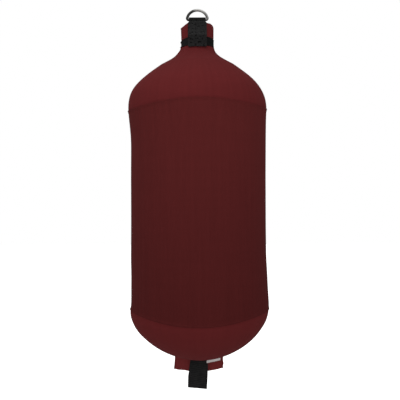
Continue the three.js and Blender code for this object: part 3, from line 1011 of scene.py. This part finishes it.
def bend(middle_y, middle_z, radius, turn_from, turn_to, steps):
    """Points of a bend in side view."""
    turns = [turn_from + (turn_to - turn_from) * i / steps for i in range(steps + 1)]
    return [Vector((0, middle_y + radius * math.cos(turn), middle_z + radius * math.sin(turn)))
            for turn in turns]


def row_across(middle, half_width, columns):
    """Points in a row across a strip."""
    return [middle + Vector((half_width * (2 * i / columns - 1), 0, 0))
            for i in range(columns + 1)]


bar_z = strap_high.z - WEBBING - CLEARANCE - WIRE / 2
off_surface = CLEARANCE + WEBBING / 2
neck_length = crest_z - band_top_z
neck_slope = math.atan2(NECK_DEPTH - CREST_HALF_DEPTH, neck_length)
off_slope = CLEARANCE + off_surface / math.cos(neck_slope)
crest_y = CREST_HALF_DEPTH + off_slope
back_end_z = crest_z - STRAP_BACK_LENGTH
back_end_y = neck_depth(back_end_z) + off_slope
band_face_y = NECK_DEPTH + CLEARANCE + BAND_WALL + CLEARANCE + off_surface
fold_radius = WIRE / 2 + CLEARANCE + WEBBING / 2

strap_line = legs([Vector((0, back_end_y, back_end_z)), Vector((0, crest_y, crest_z))], LEG_STEP)
strap_line.append(Vector((0, fold_radius, bar_z - FOLD_LEG)))
strap_line += bend(0, bar_z, fold_radius, 0, math.pi, FOLD_STEPS)
strap_line.append(Vector((0, -fold_radius, bar_z - FOLD_LEG)))
strap_line += legs([Vector((0, -crest_y, crest_z)),
                    Vector((0, -(crest_y + band_face_y) / 2, (crest_z + band_top_z) / 2)),
                    Vector((0, -band_face_y, band_top_z + WEBBING)),
                    Vector((0, -band_face_y, band_bottom_z)),
                    Vector((0, -band_face_y - STRAP_END_LIFT, strap_low.z))], LEG_STEP)
strap_row = row_across(strap_line[0], STRAP_HALF_WIDTH, STRAP_COLUMNS)
webbing_strap = draw_strip("webbing_strap", strap_row, strap_line)


def strap_point(point):
    """Round free corners, a hem, the squeeze above the crest and the bend round the neck."""
    x, y, z = point
    front = y < 0
    from_end = z - strap_low.z
    if front and from_end < END_CORNER:
        drop = END_CORNER - math.sqrt(max(0.0, END_CORNER ** 2 - (END_CORNER - from_end) ** 2))
        x *= 1 - drop / STRAP_HALF_WIDTH
    if front:
        y -= END_HEM_LIFT * eased((END_HEM - from_end) / END_HEM_STEP)
    x *= 1 - STRAP_BAR_SQUEEZE * eased((z - crest_z) / SQUEEZE_RISE + 1)
    reach = 0 if z > crest_z else neck_depth(z) - CREST_HALF_DEPTH
    hollow = reach * (1 - math.sqrt(1 - (x / NECK_RADIUS) ** 2))
    return Vector((x, y - math.copysign(hollow, y), z))


move_points(webbing_strap, strap_point)
thicken(webbing_strap, WEBBING, 0, WEBBING_ROUNDING)
finish_piece(webbing_strap, napped_black, "fender", "webbing", "hanging_strap")

# %% [markdown]
# ## The D-ring
# A D-ring is bent from one steel rod. It is made the same way here: the rod's round end is
# extruded along the straight bar, then spun round each corner and round the arch until it
# meets its start. Polished stainless steel shows no colour of its own, only its surroundings.

# %% Polished stainless steel
HAZE_SIZE = 0.004
PAINTED_DARK_LEFT_PLACES = (-0.014, -0.001)
PAINTED_DIM_RIGHT_PLACES = (0.011, 0.024)


def polished_steel(name, colour):
    """Stainless steel, ground and buffed: a near mirror with a faint haze.

    Its colour has a painted reflection: dark on its left limb and a little dimmer on its right one.
    """
    material, tree, place = start_finish(name)
    haze = texture_noise(tree, place, HAZE_SIZE, detail=3.0)
    rough = add_node(tree, "MapRange", None,
                     {"Value": haze, "From Min": -0.5, "From Max": 0.5,
                      "To Min": 0.08, "To Max": 0.22})
    # painted reflection: the left limb is painted dark and the right one dimmer, standing in for
    # the dark room they mirror
    painted_dark_left = share_along(tree, place, "X", PAINTED_DARK_LEFT_PLACES, (0.11, 1.0), "SMOOTHSTEP")
    painted_dim_right = share_along(tree, place, "X", PAINTED_DIM_RIGHT_PLACES, (1.0, 0.48), "SMOOTHSTEP")
    shaded = add_node(tree, "Math", {"operation": "MULTIPLY"}, {0: painted_dark_left, 1: painted_dim_right})
    tint = add_node(tree, "VectorMath", {"operation": "SCALE"},
                    {0: linear(colour)[:3], "Scale": shaded.outputs[0]})
    metal = add_node(tree, "BsdfPrincipled", None,
                     {"Base Color": tint.outputs[0], "Metallic": 1.0,
                      "Roughness": rough.outputs[0]})
    add_node(tree, "OutputMaterial", None, {"Surface": metal.outputs[0]})
    return material


stainless_steel = polished_steel("polished stainless steel", "#c6c5c2")

# %% Ring
ROD_SIDES = 28
CORNER_STEPS = 10
ARCH_STEPS = 72
RING_CORNER = 0.0045
ARCH_RADIUS = 0.0279
ROD_SAME_POINT = 0.00005

rod_corner_z = bar_z + RING_CORNER
arch_z = WIRE / 2 - ARCH_RADIUS
reach = ARCH_RADIUS - RING_CORNER
corner_x = math.sqrt(reach ** 2 - (rod_corner_z - arch_z) ** 2)
meet = math.atan2(rod_corner_z - arch_z, corner_x)

steel_ring = start_circle("steel_ring", ROD_SIDES, WIRE / 2, (-corner_x, 0, bar_z),
                          (0, math.pi / 2, 0))
bpy.ops.mesh.extrude_region_move(TRANSFORM_OT_translate={"value": (2 * corner_x, 0, 0)})


def spin_rod(centre_x, centre_z, angle, steps):
    """Carries the rod's open end round a centre in the ring's plane."""
    bpy.ops.mesh.spin(steps=steps, angle=angle, center=(centre_x, 0, centre_z), axis=(0, 1, 0))


spin_rod(corner_x, rod_corner_z, math.pi / 2 + meet, CORNER_STEPS)
spin_rod(0, arch_z, math.pi - 2 * meet, ARCH_STEPS)
spin_rod(-corner_x, rod_corner_z, math.pi / 2 + meet, CORNER_STEPS)
bpy.ops.mesh.select_all(action="SELECT")
bpy.ops.mesh.remove_doubles(threshold=ROD_SAME_POINT)
end_drawing()
finish_piece(steel_ring, stainless_steel, "ring", "ring_steel", "d_ring")
print("ring:", [round(size, 4) for size in steel_ring.dimensions], "packed:",
      [round(size, 4) for size in ring_high - ring_low])

# %% [markdown]
# ## The hemmed tail
# Under the lower end the cover's tube goes on as a short open skirt. It is pressed flat by its
# two side seams, so in plan it is a lens with a sewn flange at each end. A circle is extruded
# down row by row, then moved to that plan. The last rows stand a little out as the turned hem,
# with the row of stitches sunk along its upper edge.

# %% Tail skirt
SKIRT_STEPS = 240
SKIRT_WALL = 0.0014
SKIRT_HALF_DEPTH = 0.0245
SKIRT_LEFT = (0.0625, 0.0660)
SKIRT_RIGHT = (0.0641, 0.0637)
SKIRT_RIGHT_NUB = 0.0016
NUB_RISE = 0.0095
NUB_REACH = 0.006
FLANGE = 0.0036
FLANGE_HALF_THICKNESS = 0.0009
LENS_POWER = 2.1
SEAM_SINK = 0.0006
SEAM_SINK_SHARE = 0.03
TAIL_HEM = 0.006
TAIL_HEM_LIFT = 0.0007
TAIL_HEM_STEP = 0.0012
TAIL_HEM_SIDE_SHARE = 0.4
TAIL_STITCH = 0.0050
TAIL_STITCH_HALF_ROW = 0.0004
TAIL_STITCH_SINK = 0.0005
SKIRT_WAVE = 0.0011
SKIRT_WAVES = ((5, 0.7, 1.0), (9, 2.1, 0.6))
SKIRT_TUCK = 0.0006
SKIRT_CORNER_DROP = 0.0018
CORNER_START = 0.55
CORNER_REACH = 0.35
CORNER_TIP = 1.04
CORNER_TIP_REACH = 0.08
SKIRT_HEIGHTS = (0.0285, 0.0255, 0.0225, 0.0195, 0.0165, 0.0135, 0.0105, 0.0085, 0.0070, 0.0062,
                 0.0056, 0.0050, 0.0044, 0.0036, 0.0024, 0.0012, 0.0004, 0)


def end_height(x, y):
    """Height of the cover's lower end over a point."""
    radius = math.hypot(x - lean(pole_z), y)
    for low, high in zip(fine_outline, fine_outline[1:]):
        if radius <= high.x:
            return low.z + (high.z - low.z) * (radius - low.x) / (high.x - low.x)
    return LOWER_DOME_Z


def lens_depth(share):
    """Half the skirt's depth at a share of its half width: a lens with sewn flanges."""
    seam = 1 - FLANGE / SKIRT_LEFT[0]
    if share >= seam:
        return FLANGE_HALF_THICKNESS
    sink = SEAM_SINK * eased(1 - (seam - share) / SEAM_SINK_SHARE)
    lens = SKIRT_HALF_DEPTH * (1 - (share / seam) ** LENS_POWER)
    return FLANGE_HALF_THICKNESS - sink + lens


tail_skirt = start_circle("tail_skirt", SKIRT_STEPS, SKIRT_LEFT[0], (0, 0, pole_z))
extrude_along([Vector((0, 0, pole_z))] + [Vector((0, 0, hem_z + rise)) for rise in SKIRT_HEIGHTS])
end_drawing()


def skirt_point(point):
    """The lens plan with soft waves, the top edge on the lower end and the proud hem."""
    angle = math.atan2(point.y, point.x)
    down = (pole_z - point.z) / (pole_z - hem_z)
    rise = point.z - hem_z
    sides = SKIRT_LEFT if point.x < 0 else SKIRT_RIGHT
    half_width = sides[0] + (sides[1] - sides[0]) * down
    if point.x > 0:
        half_width += SKIRT_RIGHT_NUB * eased(1 - abs(rise - NUB_RISE) / NUB_REACH)
    reach = math.cos(angle)
    depth = lens_depth(abs(reach))
    wave = sum(size * math.sin(count * angle + start) for count, start, size in SKIRT_WAVES)
    if point.y < 0:
        wave = -abs(wave)
    depth += SKIRT_WAVE * wave * down * (1 - abs(reach) ** 4)
    hem = TAIL_HEM_LIFT * eased((TAIL_HEM - rise) / TAIL_HEM_STEP)
    if abs(rise - TAIL_STITCH) < TAIL_STITCH_HALF_ROW:
        hem -= TAIL_STITCH_SINK
    x = (half_width + TAIL_HEM_SIDE_SHARE * hem) * reach
    y = math.copysign(depth + hem, point.y)
    top = end_height(x, y) + SKIRT_TUCK
    corner = eased((-reach - CORNER_START) / CORNER_REACH)
    corner *= eased((CORNER_TIP + reach) / CORNER_TIP_REACH)
    low = hem_z - SKIRT_CORNER_DROP * corner
    return Vector((x, y, top + (low - top) * down))


move_points(tail_skirt, skirt_point)
thicken(tail_skirt, SKIRT_WALL)
# painted light: the skirt wears the lighter copy of the cover's knit
finish_piece(tail_skirt, bounce_lit_knit, "fender", "cover_fabric", "cover")

# %% [markdown]
# ## The tail loop
# One strip of webbing is folded in two and sewn under the lower end, in front of the skirt.
# Its two layers lie together down to the hem, then part round the eye for the tie line. The
# stitching gathers it at the top, and it hangs a little aslant.

# %% Tail loop
LOOP_GAP = 0.009
LOOP_COLUMNS = 24
LOOP_TUCK = 0.0004
LOOP_LEFT = ((-0.9137, -0.0220), (-0.9236, -0.0237), (-0.9547, -0.0281), (-0.990, -0.0289))
LOOP_RIGHT = ((-0.9137, 0.0200), (-0.9236, 0.0235), (-0.9547, 0.0226), (-0.990, 0.0203))
LOOP_BOTTOM_Z = -0.9883
LOOP_SLANT = 0.0045
LOOP_FRONT_OF_SKIRT = 0.0268
PARTING_STEPS = 14
PARTING_SHARE = 0.4
LOOP_BEND_STEPS = 16
TOP_ROW = 0.0001

loop_back_y = -(LOOP_FRONT_OF_SKIRT + CLEARANCE + WEBBING / 2)
loop_front_y = loop_back_y - WEBBING - CLEARANCE
loop_middle_y = (loop_back_y + loop_front_y) / 2
loop_bend = (LOOP_GAP + WEBBING) / 2
loop_bend_z = LOOP_BOTTOM_Z + loop_bend + WEBBING / 2
loop_top_z = pole_z
parting_z = hem_z - CLEARANCE


def layer_line(top_y, bend_y):
    """One layer of the loop in side view, from its seam down to the start of the bend."""
    parting = Vector((0, top_y, parting_z))
    straight = legs([Vector((0, top_y, loop_top_z)), parting], LEG_STEP)
    drop = Vector((0, 0, (parting_z - loop_bend_z) * PARTING_SHARE))
    end = Vector((0, bend_y, loop_bend_z))
    curve = interpolate_bezier(parting, parting - drop, end + drop, end, PARTING_STEPS)
    return straight + curve[1:]


back_line = layer_line(loop_back_y, loop_middle_y + loop_bend)
front_line = layer_line(loop_front_y, loop_middle_y - loop_bend)
turn_line = bend(loop_middle_y, loop_bend_z, loop_bend, 0, -math.pi, LOOP_BEND_STEPS)
loop_line = back_line + turn_line[1:-1] + list(reversed(front_line))
loop_row = row_across(loop_line[0], loop_half_width, LOOP_COLUMNS)
tail_webbing = draw_strip("tail_webbing", loop_row, loop_line)


def edge_at(corners, z):
    """A side edge's place at a height, from a few corners down its length."""
    for high, low in zip(corners, corners[1:]):
        if z >= low[0]:
            return between(z, low[0], high[0], low[1], high[1])
    return corners[-1][1]


def loop_point(point):
    """The gathered top, the drift to one side and the slanted end."""
    share = 0.5 + point.x / (2 * loop_half_width)
    left = edge_at(LOOP_LEFT, point.z)
    right = edge_at(LOOP_RIGHT, point.z)
    x = left + (right - left) * share
    low = eased((parting_z - point.z) / (parting_z - LOOP_BOTTOM_Z))
    z = point.z + LOOP_SLANT * (1 - share) * low
    if point.z > loop_top_z - TOP_ROW:
        z = end_height(x, point.y) + LOOP_TUCK
    return Vector((x, point.y, z))


move_points(tail_webbing, loop_point)
thicken(tail_webbing, WEBBING, 0, WEBBING_ROUNDING)
finish_piece(tail_webbing, flat_black, "fender", "webbing", "tail_loop")

# %% [markdown]
# ## The blank label
# A short white tape is caught in the same seam, beside the loop. It is folded along its
# length and runs straight back from the loop to the skirt. It carries no print.

# %% White label tape
THREAD_SIZE = 0.002
THREAD_DEPTH = 0.0003
THREAD_STRETCH = (3.0, 3.0, 0.5)


def label_tape(name, colour):
    """Woven polyester satin tape: a soft white with fine cross threads."""
    material, tree, place = start_finish(name)
    squeezed = add_node(tree, "VectorMath", {"operation": "MULTIPLY"},
                        {0: place, 1: THREAD_STRETCH}).outputs[0]
    threads = texture_noise(tree, squeezed, THREAD_SIZE, detail=2.0)
    return end_finish(material, colour, threads, (0.86, 1.14), [(threads, THREAD_DEPTH)],
                      {"Roughness": 0.6, "Specular IOR Level": 0.3})


white_tape = label_tape("white woven satin tape", "#fbf8f7")

# %% Label
LABEL_HEIGHT = 0.0063
LABEL_THICKNESS = 0.0009
LABEL_LEFT_X = 0.0203
LABEL_RIGHT_X = 0.0565
LABEL_TOP_Z = pole_z + 0.0008
LABEL_DROP = 0.0020
LABEL_FOLD = 0.0005
LABEL_TILT = 0.0022
LABEL_STEPS = 36
LABEL_ROWS = 10
LABEL_CORNER = 0.0012
LABEL_END_SHARE = 0.75
LABEL_FOLD_REACH = 0.0011
LABEL_ROUNDING = 0.00025
LABEL_BEFORE_LOOP = 0.0008
LABEL_BEFORE_SKIRT = 0.0016

label_start_y = loop_front_y - WEBBING / 2 - LABEL_BEFORE_LOOP
label_start = Vector((LABEL_LEFT_X, label_start_y, LABEL_TOP_Z))
label_end_depth = lens_depth(LABEL_RIGHT_X / SKIRT_RIGHT[0]) + LABEL_BEFORE_SKIRT
label_end = Vector((LABEL_RIGHT_X, -label_end_depth, LABEL_TOP_Z - LABEL_DROP))
label_line = [label_start.lerp(label_end, i / LABEL_STEPS) for i in range(LABEL_STEPS + 1)]
down_line = [label_start - Vector((0, 0, LABEL_HEIGHT * i / LABEL_ROWS))
             for i in range(LABEL_ROWS + 1)]
blank_label = draw_strip("blank_label", down_line, label_line)


def label_point(point):
    """A fold line along the middle and round corners at both ends."""
    along = (point.x - LABEL_LEFT_X) / (LABEL_RIGHT_X - LABEL_LEFT_X)
    middle_z = LABEL_TOP_Z - LABEL_DROP * along - LABEL_HEIGHT / 2
    off_middle = point.z - middle_z
    from_end = min(point.x - LABEL_LEFT_X, LABEL_RIGHT_X - point.x)
    taper = eased(from_end / LABEL_CORNER) ** 0.5
    z = middle_z + off_middle * (LABEL_END_SHARE + (1 - LABEL_END_SHARE) * taper)
    fold = LABEL_FOLD * (1 - eased(abs(off_middle) / LABEL_FOLD_REACH))
    tilt = LABEL_TILT * off_middle / LABEL_HEIGHT
    return Vector((point.x, point.y + fold + tilt, z))


move_points(blank_label, label_point)
thicken(blank_label, LABEL_THICKNESS, 0, LABEL_ROUNDING)
finish_piece(blank_label, white_tape, "fender", "label_tape", "care_label")

# %% [markdown]
# ## What stays hidden
# The bladder fills the cover, so it is spun from the same outline, an inset inside it. The
# valve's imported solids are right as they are. Both get their real finishes: welded film, and
# moulded plastic with a fine grain.

# %% Film and valve plastic
FILM_WRINKLE = 0.014
FILM_DEPTH = 0.0006
MOULD_GRAIN = 0.0008
MOULD_DEPTH = 0.00008


def hidden_finish(name, colour, grain_size, depth, roughness):
    """A plain sheet or moulding with the relief of how it was made."""
    material, tree, place = start_finish(name)
    relief = texture_noise(tree, place, grain_size, detail=3.0)
    return end_finish(material, colour, relief, (0.85, 1.15), [(relief, depth)],
                      {"Roughness": roughness})


grey_film = hidden_finish("grey vinyl film", "#5a5c60", FILM_WRINKLE, FILM_DEPTH, 0.38)
black_moulding = hidden_finish("moulded black nylon", "#26282b", MOULD_GRAIN, MOULD_DEPTH, 0.5)
for node in ("valve_body", "valve_cap"):
    bpy.data.objects[node].data.materials.clear()
    bpy.data.objects[node].data.materials.append(black_moulding)

# %% Bladder
BLADDER_STEPS = 120
BLADDER_INSET = 0.0034
BLADDER_POLE_RISE = 0.0018

bladder_line = [Vector((0, 0, pole_z + BLADDER_POLE_RISE))]
for place in body_outline((16, 12, 4, 10, 14, 10)):
    if place.x > 4 * BLADDER_INSET and place.z < bladder_high.z:
        bladder_line.append(Vector((place.x - BLADDER_INSET, 0, place.z + BLADDER_POLE_RISE)))
bladder_line.append(Vector((0, 0, bladder_line[-1].z)))
air_bladder = turned("air_bladder", bladder_line, BLADDER_STEPS)
move_points(air_bladder, lambda point: neck_point(point) + Vector((lean(point.z), 0, 0)))
finish_piece(air_bladder, grey_film, "fender", "bladder_film", "bladder")
